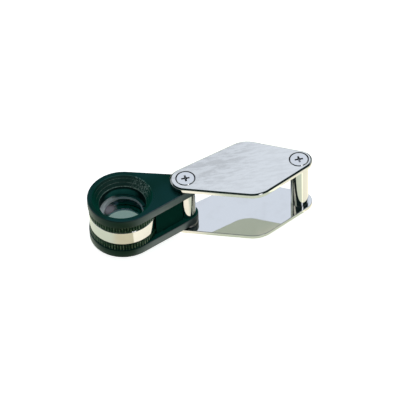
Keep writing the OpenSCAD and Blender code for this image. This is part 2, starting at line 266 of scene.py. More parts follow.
def hull_outline(circles, inset=0.0):
    """Outline round circles (centre, radius) given anticlockwise, joined by straight sides."""
    sides = []
    for i, (centre, radius) in enumerate(circles):
        after, after_radius = circles[(i + 1) % len(circles)]
        along = Vector(after[:2]) - Vector(centre[:2])
        lean = math.acos((radius - after_radius) / along.length)
        sides.append(math.atan2(along.y, along.x) - lean)
    points = []
    for i, (centre, radius) in enumerate(circles):
        start = sides[i - 1]
        sweep = (sides[i] - start) % TURN
        steps = max(6, round(ROUND_STEPS * sweep / TURN))
        points += arc(centre, radius - inset, start, start + sweep, steps)
    return points


def softened(points, radius, steps=4, closed=True):
    """Profile whose corners are rounded, each by no more than a third of its shorter side."""
    soft = []
    count = len(points)
    for i, corner in enumerate(points):
        corner = Vector(corner)
        if not closed and i in (0, count - 1):
            soft.append(corner)
            continue
        before = Vector(points[i - 1]) - corner
        after = Vector(points[(i + 1) % count]) - corner
        half = before.angle(after) / 2
        reach = min(radius / math.tan(half), before.length / 3, after.length / 3)
        start = corner + before.normalized() * reach
        end = corner + after.normalized() * reach
        for k in range(steps + 1):
            t = k / steps
            soft.append((1 - t) ** 2 * start + 2 * t * (1 - t) * corner + t * t * end)
    return soft


def rounded_edge(low_z, high_z, radius, steps=4):
    """Edge of a slab as (inset, height) pairs from its lower face to its upper face."""
    quarter = [i * math.pi / 2 / steps for i in range(steps + 1)]
    rise = [(radius * (1 - math.sin(a)), radius * (1 - math.cos(a))) for a in quarter]
    rows = [(inset, low_z + height) for inset, height in rise]
    rows += [(inset, high_z - height) for inset, height in rise[::-1]]
    return [(radius + SUPPORT, low_z), *rows, (radius + SUPPORT, high_z)]


def bevelled_edge(low_z, high_z, bevel_low, bevel, small_r):
    """The same with a soft bevel (width, drop) on one face and a small rounding on the other."""
    width, drop = bevel
    face_z, inner_z = (low_z, high_z) if bevel_low else (high_z, low_z)
    out = -1 if bevel_low else 1
    corners = [
        (width * 3, face_z),
        (width, face_z),
        (0, face_z - out * drop),
        (0, inner_z + out * small_r * 2.5),
        (0, inner_z),
        (small_r * 3, inner_z),
    ]
    bend_r = 0.22 * MM
    soft = softened(corners, bend_r, steps=6, closed=False)
    rows = [(p.x, p.y) for p in soft]
    rows[0] = (rows[1][0] + SUPPORT, face_z)
    rows[-1] = (rows[-2][0] + SUPPORT, inner_z)
    return rows if bevel_low else rows[::-1]


# Meshes

def loop(bm, points, z=None):
    """New vertices through the points, in order."""
    return [bm.verts.new((p[0], p[1], p[2] if z is None else z)) for p in points]


def skin(bm, rows, closed=False, material=0):
    """Quads between rows of vertices, each row closed on itself."""
    pairs = list(zip(rows, rows[1:]))
    if closed:
        pairs.append((rows[-1], rows[0]))
    for place, (row, after) in enumerate(pairs):
        index = material[place] if isinstance(material, (list, tuple)) else material
        for i in range(len(row)):
            j = (i + 1) % len(row)
            face = bm.faces.new((row[i], row[j], after[j], after[i]))
            face.material_index = index


def cap(bm, rows, material=0):
    """Flat face inside the first row and outside the others."""
    edges = []
    for row in rows:
        for i, vertex in enumerate(row):
            after = row[(i + 1) % len(row)]
            edges.append(bm.edges.get((vertex, after)) or bm.edges.new((vertex, after)))
    made = bmesh.ops.triangle_fill(bm, edges=edges, use_beauty=True, normal=(0, 0, 1))
    for face in made["geom"]:
        if isinstance(face, bmesh.types.BMFace):
            face.material_index = material


def rings(bm, axis, profile):
    """Round rows of vertices, one for each (radius, height) of a profile."""
    return [loop(bm, [point_at(axis, r, a) for a in ROUND_ANGLES], z) for r, z in profile]


def turned(bm, axis, profile, material=0, angles=ROUND_ANGLES, closed=True):
    """Turns a profile of (radius, height) about an axis. The profile may depend on the angle."""
    outlines = [profile(a) if callable(profile) else profile for a in angles]
    rows = []
    for k in range(len(outlines[0])):
        row = [(*point_at(axis, line[k][0], a), line[k][1]) for line, a in zip(outlines, angles)]
        rows.append(loop(bm, row))
    skin(bm, rows, closed, material)


def slab(bm, outline, edge_rows, holes, materials):
    """Flat piece with a shaped edge. A hole is (axis, profile from the lower face up, materials)."""
    low, side, high = materials
    rows = [loop(bm, outline(inset), z) for inset, z in edge_rows]
    skin(bm, rows, material=side)
    low_rows = [rows[0]]
    high_rows = [rows[-1]]
    for axis, profile, inside in holes:
        walls = rings(bm, axis, profile)
        skin(bm, walls, material=inside)
        low_rows.append(walls[0])
        high_rows.append(walls[-1])
    cap(bm, low_rows, low)
    cap(bm, high_rows, high)


def piece(name, bm, finishes, body, slot, nodes):
    """Object made of a finished mesh: it rides on its body and stands for its nodes."""
    bmesh.ops.remove_doubles(bm, verts=bm.verts, dist=WELD)
    bmesh.ops.recalc_face_normals(bm, faces=bm.faces)
    for edge in bm.edges:
        edge.smooth = len(edge.link_faces) == 2 and edge.calc_face_angle() < SHARP_ANGLE
    for face in bm.faces:
        face.smooth = True
    mesh = bpy.data.meshes.new(name)
    bm.to_mesh(mesh)
    bm.free()
    made = bpy.data.objects.new(name, mesh)
    bpy.context.scene.collection.objects.link(made)
    for finish in finishes:
        mesh.materials.append(finish())
    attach(made, body)
    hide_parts(*nodes)


def turned_piece(name, node, corners, finish, body, slot, rounding):
    """Piece turned about its node's axis from a profile whose corners are rounded."""
    bm = bmesh.new()
    turned(bm, axis_of(node), softened(corners, rounding))
    piece(name, bm, [finish], body, slot, [node])


# Shader nodes

class Value:
    """Output of a shader node that can be used in arithmetic."""

    def __init__(self, nodes, socket):
        self.nodes = nodes
        self.socket = socket

    def math(self, operation, first, second):
        return self.nodes.node("ShaderNodeMath", {"operation": operation}, {0: first, 1: second})

    def __add__(self, other):
        return self.math("ADD", self, other)

    def __radd__(self, other):
        return self.math("ADD", other, self)

    def __rsub__(self, other):
        return self.math("SUBTRACT", other, self)

    def __mul__(self, other):
        return self.math("MULTIPLY", self, other)


class Nodes:
    """Node tree of a material or the world, emptied before it is filled."""

    def __init__(self, owner):
        owner.use_nodes = True
        self.tree = owner.node_tree
        self.tree.nodes.clear()

    def node(self, kind, settings=None, inputs=None, output=0):
        """Output of a new node, whose inputs are numbers, colours or other nodes' outputs."""
        made = self.tree.nodes.new(kind)
        for name, value in (settings or {}).items():
            setattr(made, name, value)
        for key, value in (inputs or {}).items():
            if isinstance(value, Value):
                self.tree.links.new(value.socket, made.inputs[key])
            else:
                made.inputs[key].default_value = value
        return Value(self, made.outputs[output]) if made.outputs else None

    def vector(self, operation, first, second=(0, 0, 0), output=0):
        return self.node("ShaderNodeVectorMath", {"operation": operation}, {0: first, 1: second}, output)

    def dot(self, first, second):
        return self.vector("DOT_PRODUCT", first, second, "Value")

    def larger(self, first, second):
        """The larger of two values."""
        return self.node("ShaderNodeMath", {"operation": "MAXIMUM"}, {0: first, 1: second})

    def blend(self, amount, first, second):
        """Colour between two others."""
        return self.node(
            "ShaderNodeMix", {"data_type": "RGBA"}, {0: amount, 6: rgba(first), 7: rgba(second)}, 2
        )

    def mottled(self, amount, tone, high, low=1.0):
        """Colour between a tone and the same tone made lighter or darker."""
        return self.blend(amount, [low * c for c in tone], [high * c for c in tone])

    def ramp(self, amount, low, high):
        """0 below low, 1 above high."""
        return self.node(
            "ShaderNodeMapRange",
            {"interpolation_type": "SMOOTHSTEP"},
            {"Value": amount, "From Min": low, "From Max": high},
        )

    def here(self):
        """Position in the row frame, in metres."""
        return self.node("ShaderNodeTexCoord", output="Object")

    def noise(self, size, stretch=(1, 1, 1), detail=2.0, roughness=0.5):
        """Cloudy value round 0.5 whose spots have the given size, stretched along each axis."""
        place = self.vector("MULTIPLY", self.here(), [1 / (size * s) for s in stretch])
        inputs = {"Vector": place, "Scale": 1, "Detail": detail, "Roughness": roughness}
        return self.node("ShaderNodeTexNoise", {}, inputs)

    def near(self, point, inner, outer):
        """1 within the inner distance of a point, 0 beyond the outer one."""
        away = self.vector("DISTANCE", self.here(), point, "Value")
        return 1 - self.ramp(away, inner, outer)

    def along(self, direction):
        """Distance of here from the row frame's origin, measured along a direction."""
        return self.dot(self.here(), direction)

    def bearing(self, point, direction):
        """Cosine of the angle between a direction and the way from a point to here."""
        way = self.vector("NORMALIZE", self.vector("SUBTRACT", self.here(), point))
        return self.dot(way, direction)

    def bump(self, height, depth, strength=1.0):
        return self.node(
            "ShaderNodeBump", {}, {"Height": height, "Distance": depth, "Strength": strength}
        )

    def principled(self, **inputs):
        """Principled shader: a keyword is a socket's name with _ for a space."""
        return self.node(
            "ShaderNodeBsdfPrincipled", {}, {key.replace("_", " "): v for key, v in inputs.items()}
        )

    def output(self, shader):
        self.node("ShaderNodeOutputMaterial", {}, {"Surface": shader})

    def surface(self, **inputs):
        self.output(self.principled(**inputs))

    def satin(self, **inputs):
        """Dyed surface: only the metal under the dye mirrors anything."""
        self.surface(Specular_IOR_Level=0, **inputs)


def rgba(value):
    return value if isinstance(value, Value) else (*value, 1)


def material(fill):
    """Decorator: a finish that is made once, under its function's name, and then shared."""

    def finish():
        made = bpy.data.materials.get(fill.__name__)
        if not made:
            made = bpy.data.materials.new(fill.__name__)
            fill(Nodes(made), bpy.context.scene.loupe.colours)
        return made

    return finish


# Finishes

def by_lens(radius, degrees, height):
    """Point at a distance from the lens axis, at an angle from the right and at a height."""
    return (*point_at(LENS, radius, math.radians(degrees)), height)


@material
def brushed_plating(nodes, colours):
    """Outer faces of the plates: bright plating with faint streaks and cloudy smudges, darkened by
    painted shade at the left and the back
    """
    clouds = nodes.noise(2.4 * MM, (1.8, 0.5, 1), detail=5, roughness=0.65)
    hairs = nodes.noise(0.16 * MM, (24, 1, 1), detail=3)
    cloudy = nodes.ramp(clouds, 0.4, 0.64)
    # Painted shade: the plating is darker round a point at the left and the back
    painted_shade = nodes.near((-12 * MM, 13 * MM, PLATE_Z), 4 * MM, 25 * MM)
    streaks_and_painted_shade = painted_shade * (0.36 + cloudy * 0.7) + cloudy * 0.26 + hairs * 0.12
    nodes.surface(
        Base_Color=nodes.blend(streaks_and_painted_shade, colours.brushed, colours.streak),
        Metallic=1,
        Roughness=0.05 + cloudy * 0.1 + hairs * 0.05,
        Normal=nodes.bump(hairs, 0.004 * MM, 0.5),
    )


@material
def mirror_plating(nodes, colours):
    """Edges and inner faces of the plates, the posts and the band: polished plating"""
    haze = nodes.ramp(nodes.noise(4 * MM, detail=3), 0.5, 0.8)
    nodes.surface(
        Base_Color=nodes.blend(haze * 0.2, colours.chrome, colours.streak),
        Metallic=1,
        Roughness=0.03 + haze * 0.03,
    )


@material
def dark_recess(nodes, colours):
    """Walls of the cross recesses and of the gaps round the screw heads: plating darkened by painted
    shade, dull grey in patches and near black elsewhere
    """
    lighter_patches = nodes.ramp(nodes.noise(1.1 * MM, detail=4), 0.42, 0.6)
    nodes.surface(Base_Color=nodes.blend(lighter_patches, colours.dirt, colours.recess_shade_light), Metallic=1, Roughness=0.35)


@material
def steel(nodes, colours):
    """Washers and dowels: ground steel"""
    grind = nodes.noise(0.1 * MM, (6, 1, 1))
    tone = nodes.mottled(grind, colours.steel, 0.8)
    nodes.surface(Base_Color=tone, Metallic=1, Roughness=0.25 + grind * 0.15)


@material
def dyed_face(nodes, colours):
    """Flat faces of the arms: dark dyed aluminium with a fine blasted grain"""
    grain = nodes.noise(0.09 * MM, detail=2)
    drift = nodes.ramp(nodes.noise(14 * MM, detail=1), 0.4, 0.6)
    nodes.satin(
        Base_Color=nodes.blend(drift, colours.face, colours.drift),
        Metallic=0.5,
        Roughness=0.3 + grain * 0.1,
        Normal=nodes.bump(grain, 0.003 * MM, 0.4),
    )


@material
def turned_edge(nodes, colours):
    """Edges of the arms: tool marks run round, and painted light makes the edges lighter away from the
    front of the lens end
    """
    marks = nodes.noise(0.08 * MM, (12, 12, 1))
    rubbed = 1 - nodes.near(by_lens(ARM_LENS_R, 247, LENS.z), 6 * MM, 14.5 * MM)
    painted_sheen = rubbed * (0.7 + marks * 0.2 + nodes.noise(2.5 * MM, detail=3) * 0.3)
    nodes.surface(
        Base_Color=nodes.blend(painted_sheen, colours.edge, colours.painted_sheen),
        Metallic=1,
        Roughness=0.34 + marks * 0.1,
        Normal=nodes.bump(marks, 0.003 * MM, 0.4),
    )


@material
def satin_black(nodes, colours):
    """Barrel and bridge: satin dye"""
    grain = nodes.noise(0.12 * MM)
    nodes.satin(
        Base_Color=nodes.mottled(grain, colours.inner, 1.6),
        Roughness=0.3 + grain * 0.1,
        Normal=nodes.bump(grain, 0.002 * MM, 0.4),
    )


@material
def satin_between(nodes, colours):
    """Faces of the arms that look at each other: satin dye, lighter than the outer faces as painted
    light in the shade between the arms
    """
    grain = nodes.noise(0.12 * MM)
    nodes.satin(Base_Color=nodes.mottled(grain, colours.between, 1.4), Roughness=0.4 + grain * 0.1)


def at_back(nodes, inner, outer):
    """Mask for painted light: 1 at the back of the lens holder's bores, where the light comes in, and 0
    elsewhere.
    """
    return nodes.near(by_lens(8 * MM, 78, 16 * MM), inner, outer)


@material
def satin_funnel(nodes, colours):
    """Wall of the eye side's funnel: satin dye, with painted light at the back and painted glints at the
    right
    """
    turning = nodes.noise(0.07 * MM, (8, 8, 1))
    painted_back_light = at_back(nodes, 5 * MM, 11 * MM) * (0.7 + turning * 0.6)
    painted_glints = nodes.ramp(nodes.noise(0.36 * MM, detail=1), 0.52, 0.64)
    glint_spot = nodes.near(by_lens(8.2 * MM, 33, 16.4 * MM), 1.8 * MM, 5.2 * MM)
    # The dye, with painted light at the back
    dyed = nodes.blend(painted_back_light, colours.funnel, colours.haze)
    nodes.satin(
        Base_Color=nodes.blend(painted_glints * glint_spot * 0.8, dyed, colours.crest),
        Metallic=0.4,
        Roughness=0.32 + turning * 0.1,
    )


@material
def satin_field(nodes, colours):
    """Cell and turned ribs behind the field side's opening: satin dye, in a tone far lighter than the
    dye's own as painted light in the dim bore
    """
    turning = nodes.noise(0.07 * MM, (8, 8, 1))
    nodes.satin(Base_Color=nodes.mottled(turning, colours.field, 1.2, 0.8), Roughness=0.5)


@material
def satin_tube(nodes, colours):
    """Wall of the tube over the glass: satin dye in a light tone as painted light, with painted shade
    under the funnel and away from the light
    """
    turning = nodes.noise(0.07 * MM, (8, 8, 1))
    under = nodes.ramp(nodes.along((0, 0, 1)), 13 * MM, 14.1 * MM)
    aside = 1 - nodes.near(by_lens(7.1 * MM, 84, 12 * MM), 3 * MM, 7 * MM)
    nodes.satin(
        Base_Color=nodes.mottled(under + aside + turning * 0.3, colours.tube, 0.1),
        Metallic=0.2,
        Roughness=0.32 + turning * 0.1,
    )


@material
def painted_crest_sheen(nodes, colours):
    """Crests of every third rib, with a patchy painted sheen at the back, least near the mouth"""
    patchy = nodes.ramp(nodes.noise(0.5 * MM, detail=3), 0.4, 0.6)
    reach = 1 - nodes.ramp(nodes.along((0, 0, 1)), 15.2 * MM, 16 * MM) * 0.55
    painted_sheen = at_back(nodes, 6 * MM, 13 * MM) * (0.4 + patchy * 0.6) * reach
    nodes.satin(Base_Color=nodes.blend(painted_sheen, colours.funnel, colours.crest), Metallic=0.2, Roughness=0.4)


@material
def tooth_crest(nodes, colours):
    """Crests of the knurling, a little abraded"""
    patchy = nodes.ramp(nodes.noise(0.9 * MM, detail=3), 0.4, 0.65)
    nodes.surface(Base_Color=nodes.blend(patchy, colours.knurl, colours.tooth), Metallic=1, Roughness=0.3)


@material
def ring_flat(nodes, colours):
    """Flat top of the retaining ring: turned, with a painted highlight at its left"""
    marks = nodes.noise(0.25 * MM, (1, 1, 6))
    rubbed = nodes.near(by_lens(RING_R, 150, CELL_TOP_Z), 3.4 * MM, 6.2 * MM) * (0.6 + marks)
    tone = nodes.blend(rubbed, colours.ring, colours.rubbed)
    nodes.satin(Base_Color=tone, Roughness=0.35 + marks * 0.1)


@material
def ring_bevel(nodes, colours):
    """Bevel inside the retaining ring: a light tone as painted reflection, and a painted highlight
    strongest at its left
    """
    marks = nodes.noise(0.1 * MM, (6, 6, 1))
    bare = nodes.near(by_lens(RING_R, 138, CELL_TOP_Z), 2.6 * MM, 5.2 * MM)
    tone = nodes.blend(bare, colours.bevel, colours.bare)
    nodes.surface(Base_Color=tone, Roughness=0.35 + marks * 0.1)


@material
def ground_black(nodes, colours):
    """Ground and blackened edge of the glass"""
    tone = nodes.blend(nodes.noise(0.1 * MM), colours.rim, colours.rim_spots)
    nodes.surface(Base_Color=tone, Specular_IOR_Level=0.1, Roughness=0.8)


@material
def knurl_black(nodes, colours):
    """Flanks and grooves of the knurling"""
    grain = nodes.noise(0.1 * MM)
    tone = nodes.mottled(grain, colours.knurl, 1.5)
    nodes.surface(Base_Color=tone, Metallic=1, Roughness=0.35 + grain * 0.1)


@material
def coated_glass(nodes, colours):
    """Cemented triplet with a fine coating that reflects violet, and a painted reflection at its left"""
    dust = nodes.ramp(nodes.noise(0.8 * MM, detail=4), 0.62, 0.8)
    glass = nodes.principled(
        Base_Color=nodes.blend(dust, colours.glass, colours.dust),
        Roughness=0.004 + dust * 0.02,
        Transmission_Weight=1,
        IOR=1.7,
        Specular_Tint=(*colours.coating, 1),
    )
    # Painted reflection: a matt lilac layer over the glass at its left
    painted_reflection = nodes.near(by_lens(4.7 * MM, 150, 10.8 * MM), 0.6 * MM, 2.9 * MM)
    painted_reflection_shader = nodes.principled(Base_Color=(*colours.painted_reflection, 1), Specular_IOR_Level=0, Roughness=0.8)
    both = nodes.node("ShaderNodeMixShader", {}, {0: painted_reflection * 0.7, 1: glass, 2: painted_reflection_shader})
    nodes.output(both)


# Case

def kite_circles():
    """Circles under the plates' four corners, anticlockwise from the pivot."""
    side_r = bpy.context.scene.loupe.case.side_r
    low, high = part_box("case_plate_bottom")
    belly_x = PIVOT.x + LENS_DISTANCE
    return [
        ((PIVOT.x, PIVOT.y), PIVOT.x - low.x),
        ((belly_x, low.y + side_r), side_r),
        ((END.x, END.y), high.x - END.x),
        ((belly_x, high.y - side_r), side_r),
    ]


def countersink(face_z, inner_z):
    """Wall of a screw's hole from the plate's inner face out to its outer face."""
    case = bpy.context.scene.loupe.case
    out = 1 if face_z > inner_z else -1
    head_r = outer_radius("end_screw_top") + case.head_gap
    hole_r = case.screw_d / 2 + case.head_gap
    cone_z = face_z - out * case.head_rim
    return [
        (hole_r + SUPPORT, inner_z),
        (hole_r, inner_z),
        (hole_r, cone_z - out * (head_r - hole_r)),
        (head_r, cone_z),
        (head_r, face_z - out * case.seat_chamfer),
        (head_r + case.seat_chamfer, face_z),
        (head_r + case.seat_chamfer + SUPPORT, face_z),
    ]


def case_plate(name, node, outer_up):
    case = bpy.context.scene.loupe.case
    low_z, high_z = levels(node)
    circles = kite_circles()
    face_z, inner_z = (high_z, low_z) if outer_up else (low_z, high_z)
    wall = countersink(face_z, inner_z)
    inside = [1, 2, 2, 2, 2, 0]
    if not outer_up:
        wall = wall[::-1]
        inside = inside[::-1]
    bevel = (case.bevel_w, case.bevel_drop)
    bm = bmesh.new()
    slab(
        bm,
        lambda inset: hull_outline(circles, inset),
        bevelled_edge(low_z, high_z, not outer_up, bevel, case.inner_edge_r),
        [(PIVOT, wall, inside), (END, wall, inside)],
        (1, 1, 0) if outer_up else (0, 1, 1),
    )
    piece(name, bm, [brushed_plating, mirror_plating, dark_recess], "case", "plated_plate", [node])


class LOUPE_OT_plates(bpy.types.Operator):
    """Make the two plates of the case"""

    bl_idname = "loupe.plates"
    bl_label = "Case plates"

    def execute(self, context):
        case_plate("plate_lower", "case_plate_bottom", outer_up=False)
        case_plate("plate_upper", "case_plate_top", outer_up=True)
        return {"FINISHED"}


class LOUPE_OT_posts(bpy.types.Operator):
    """Make the two posts between the plates"""

    bl_idname = "loupe.posts"
    bl_label = "Posts"

    def execute(self, context):
        for name, node in (("column_pivot", "pivot_post"), ("column_end", "end_post")):
            low_z, high_z = levels(node)
            radius = outer_radius(node)
            bore = context.scene.loupe.case.screw_d / 2
            corners = [(bore, low_z), (radius, low_z), (radius, high_z), (bore, high_z)]
            turned_piece(name, node, corners, mirror_plating, "case", "plated_post", rounding=0.06 * MM)
        return {"FINISHED"}


def cross_outline(axis, span, width):
    """Cross with cut inner corners, as a driver leaves it."""
    corner = width * 0.85
    points = []
    for quarter in range(4):
        along = Vector((math.cos(quarter * math.pi / 2), math.sin(quarter * math.pi / 2)))
        across = Vector((-along.y, along.x))
        for far, wide in ((corner, -1), (span / 2, -1), (span / 2, 1), (corner, 1)):
            points.append(Vector(axis[:2]) + along * far + across * wide * width / 2)
    return points


def case_screw(name, node):
    case = bpy.context.scene.loupe.case
    low_z, high_z = levels(node)
    axis = axis_of(node)
    out = 1 if axis.z > PIVOT.z else -1
    face_z, tip_z = (high_z, low_z) if out > 0 else (low_z, high_z)
    head_r = outer_radius(node)
    thread_r = case.screw_d / 2
    cone_z = face_z - out * case.head_rim
    profile = [
        (head_r - case.head_chamfer - SUPPORT, face_z),
        (head_r - case.head_chamfer, face_z),
        (head_r, face_z - out * case.head_chamfer),
        (head_r, cone_z),
        (thread_r, cone_z - out * (head_r - thread_r)),
        (thread_r, tip_z),
    ]
    bm = bmesh.new()
    rows = rings(bm, axis, profile)
    skin(bm, rows, material=[0, 0, 1, 1, 1])
    cap(bm, [rows[-1]], 1)
    mouth = loop(bm, cross_outline(axis, case.recess_span, case.recess_w), face_z)
    # The recess narrows towards its floor
    floor_span = case.recess_span * 0.5
    floor_w = case.recess_w * 0.75
    floor = loop(bm, cross_outline(axis, floor_span, floor_w), face_z - out * case.recess_depth)
    skin(bm, [mouth, floor], material=1)
    cap(bm, [rows[0], mouth])
    cap(bm, [floor], 1)
    piece(name, bm, [mirror_plating, dark_recess], "case", "case_screw", [node])


class LOUPE_OT_screws(bpy.types.Operator):
    """Make the four countersunk screws of the case"""

    bl_idname = "loupe.screws"
    bl_label = "Case screws"

    def execute(self, context):
        for place in ("pivot", "end"):
            for side in ("bottom", "top"):
                case_screw(f"screw_{place}_{side}", f"{place}_screw_{side}")
        return {"FINISHED"}


class LOUPE_OT_washers(bpy.types.Operator):
    """Make the flat washer and the dished spring washer on the pivot post"""

    bl_idname = "loupe.washers"
    bl_label = "Washers"

    def execute(self, context):
        low_z, high_z = levels("thrust_washer")
        bore = bore_radius("thrust_washer")
        rim = outer_radius("thrust_washer")
        flat = [(bore, low_z), (rim, low_z), (rim, high_z), (bore, high_z)]
        own = ("case", "washer_steel")
        turned_piece("washer_flat", "thrust_washer", flat, steel, *own, rounding=0.05 * MM)

        low_z, high_z = levels("spring_washer")
        thick = (high_z - low_z) / 2
        dished = [(bore, high_z - thick), (rim, low_z), (rim, low_z + thick), (bore, high_z)]
        turned_piece("washer_spring", "spring_washer", dished, steel, *own, rounding=0.04 * MM)
        return {"FINISHED"}


# Lens holder

def arm(name, node, outer_up):
    """Teardrop arm with the pivot's bore and the stepped seat of a bezel."""
    holder = bpy.context.scene.loupe.holder
    low_z, high_z = levels(node)
    circles = [(PIVOT, ARM_PIVOT_R), (LENS, ARM_LENS_R)]
    face_z, inner_z = (high_z, low_z) if outer_up else (low_z, high_z)
    step_z = face_z - (holder.flange_t if outer_up else -holder.flange_t)
    barrel_r = bore_radius("lens_barrel")
    flange_r = outer_radius("bezel_eye") + FIT
    seat = [
        (barrel_r + SUPPORT, inner_z),
        (barrel_r, inner_z),
        (barrel_r, step_z),
        (flange_r, step_z),
        (flange_r, face_z),
        (flange_r + SUPPORT, face_z),
    ]
    bore_r = bore_radius("thrust_washer")
    bore = [(bore_r + SUPPORT, low_z), (bore_r, low_z), (bore_r, high_z), (bore_r + SUPPORT, high_z)]
    bm = bmesh.new()
    slab(
        bm,
        lambda inset: hull_outline(circles, inset),
        rounded_edge(low_z, high_z, holder.arm_edge_r),
        [(PIVOT, bore, 1), (LENS, seat if outer_up else seat[::-1], 0)],
        (2, 1, 0) if outer_up else (0, 1, 2),
    )
    piece(name, bm, [dyed_face, turned_edge, satin_between], "holder", "black_anodised", [node])


class LOUPE_OT_arms(bpy.types.Operator):
    """Make the two arms of the lens holder"""

    bl_idname = "loupe.arms"
    bl_label = "Arms"

    def execute(self, context):
        arm("holder_arm_lower", "arm_lower", outer_up=False)
        arm("holder_arm_upper", "arm_upper", outer_up=True)
        return {"FINISHED"}


def holder_point(along, across):
    """Point of the holder's own frame, which runs from the pivot to the lens, in the row frame."""
    side = Vector((-ALONG_HOLDER.y, ALONG_HOLDER.x))
    return PIVOT.xy + ALONG_HOLDER * along + side * across


class LOUPE_OT_bridge(bpy.types.Operator):
    """Make the bridge between the arms, hollowed round the pivot post and the barrel"""

    bl_idname = "loupe.bridge"
    bl_label = "Bridge"

    inset: length("Inset", 1.7, "Distance of the bridge behind the arms' edges")
    start: length("Start", 2, "Distance from the pivot axis to the bridge's tips")
    gap: length("Gap", 0.3, "Gap round the pivot post and the knurled rings")

    def execute(self, context):
        low_z, high_z = levels("arm_bridge")
        lean = math.asin((ARM_LENS_R - ARM_PIVOT_R) / LENS_DISTANCE)
        saddle_r = outer_radius("pivot_post") + self.gap
        hollow_r = outer_radius("knurled_ring_upper") + self.gap
        side_start = ARM_PIVOT_R / math.cos(lean) - self.inset

        def half_width(x):
            return side_start + x * math.tan(lean)

        far = LENS_DISTANCE
        step = 0.01 * MM
        while math.hypot(far - LENS_DISTANCE, half_width(far)) < hollow_r:
            far -= step
        hollow_a = math.atan2(half_width(far), far - LENS_DISTANCE)
        saddle_a = math.acos(self.start / saddle_r)
        outline = [Vector((self.start, -half_width(self.start)))]
        outline += arc((LENS_DISTANCE, 0), hollow_r, TURN - hollow_a, hollow_a, 40)
        outline += [Vector((self.start, half_width(self.start)))]
        outline += arc((0, 0), saddle_r, saddle_a, -saddle_a, 24)
        points = [holder_point(p.x, p.y) for p in outline]
        bm = bmesh.new()
        rows = [loop(bm, points, z) for z in (low_z, high_z)]
        skin(bm, rows)
        cap(bm, [rows[0]])
        cap(bm, [rows[1]])
        piece("holder_bridge", bm, [satin_black], "holder", "inner_black", ["arm_bridge"])
        return {"FINISHED"}


def knurled_ring(name, node):
    """Ring with straight knurling: crests between V grooves, chamfered at both ends."""
    holder = bpy.context.scene.loupe.holder
    low_z, high_z = levels(node)
    crest_r = outer_radius(node)
    bore_r = bore_radius(node)
    pitch = TURN / holder.teeth
    chamfer = 0.12 * MM
    end_r = crest_r - holder.tooth_depth - chamfer / 2
    crest_share = 0.36
    groove_place = (1 + crest_share) / 2
    drops = {}
    for tooth in range(holder.teeth):
        drops[tooth * pitch] = 0
        drops[(tooth + crest_share) * pitch] = 0
        drops[(tooth + groove_place) * pitch] = holder.tooth_depth

    def profile(angle):
        r = crest_r - drops[angle]
        return [
            (bore_r, low_z),
            (end_r, low_z),
            (r, low_z + chamfer),
            (r, high_z - chamfer),
            (end_r, high_z),
            (bore_r, high_z),
        ]

    bm = bmesh.new()
    turned(bm, LENS, profile, angles=list(drops))
    for face in bm.faces:
        middle = face.calc_center_median()
        between_chamfers = low_z + chamfer < middle.z < high_z - chamfer
        at_crest = (middle - LENS).xy.length > crest_r - holder.tooth_depth / 4
        if between_chamfers and at_crest:
            face.material_index = 1
    piece(name, bm, [knurl_black, tooth_crest], "holder", "knurled_black", [node])


class LOUPE_OT_knurling(bpy.types.Operator):
    """Make the two knurled rings on the barrel"""

    bl_idname = "loupe.knurling"
    bl_label = "Knurled rings"

    def execute(self, context):
        knurled_ring("knurl_lower", "knurled_ring_lower")
        knurled_ring("knurl_upper", "knurled_ring_upper")
        return {"FINISHED"}


class LOUPE_OT_band(bpy.types.Operator):
    """Make the bright band on the barrel"""

    bl_idname = "loupe.band"
    bl_label = "Bright band"

    def execute(self, context):
        low_z, high_z = levels("barrel_band")
        radius = outer_radius("barrel_band")
        bore = bore_radius("barrel_band")
        chamfer = context.scene.loupe.holder.band_chamfer
        corners = [
            (bore, low_z),
            (radius - chamfer, low_z),
            (radius, low_z + chamfer),
            (radius, high_z - chamfer),
            (radius - chamfer, high_z),
            (bore, high_z),
        ]
        own = (mirror_plating, "holder", "bright_band")
        turned_piece("bright_band", "barrel_band", corners, *own, rounding=0.08 * MM)
        return {"FINISHED"}


def funnel(high_z, depth, ribs, wide_r, narrow_r):
    """Steps of a ribbed funnel from its wide upper end down, each a tread, a chamfer and a wall."""
    steps = []
    narrow = (wide_r - narrow_r) / ribs
    crest = narrow * 0.45
    for i in range(ribs):
        z = high_z - depth * i / ribs
        r = wide_r - narrow * i
        steps += [(r, z), (r - narrow + crest, z), (r - narrow, z - crest)]
    return steps


def bezel(name, node, ribbed, inner, outer, ribs_finish):
    """Bezel with a ribbed funnel. Its other walls are given in order, first those of its bore."""
    faces_per_rib = 3
    third_chamfer = 2 * faces_per_rib + 1
    ribs = [1 if i % (3 * faces_per_rib) == third_chamfer else 2 for i in range(len(ribbed))]
    # The wall under the last chamfer takes the painted sheen as the chamfer does
    ribs[-1] = ribs[-2]
    bm = bmesh.new()
    turned(bm, LENS, ribbed + inner + outer, ribs + [3] * len(inner) + [0] * len(outer))
    finishes = [dyed_face, painted_crest_sheen, ribs_finish, satin_tube]
    piece(name, bm, finishes, "holder", "black_anodised", [node])


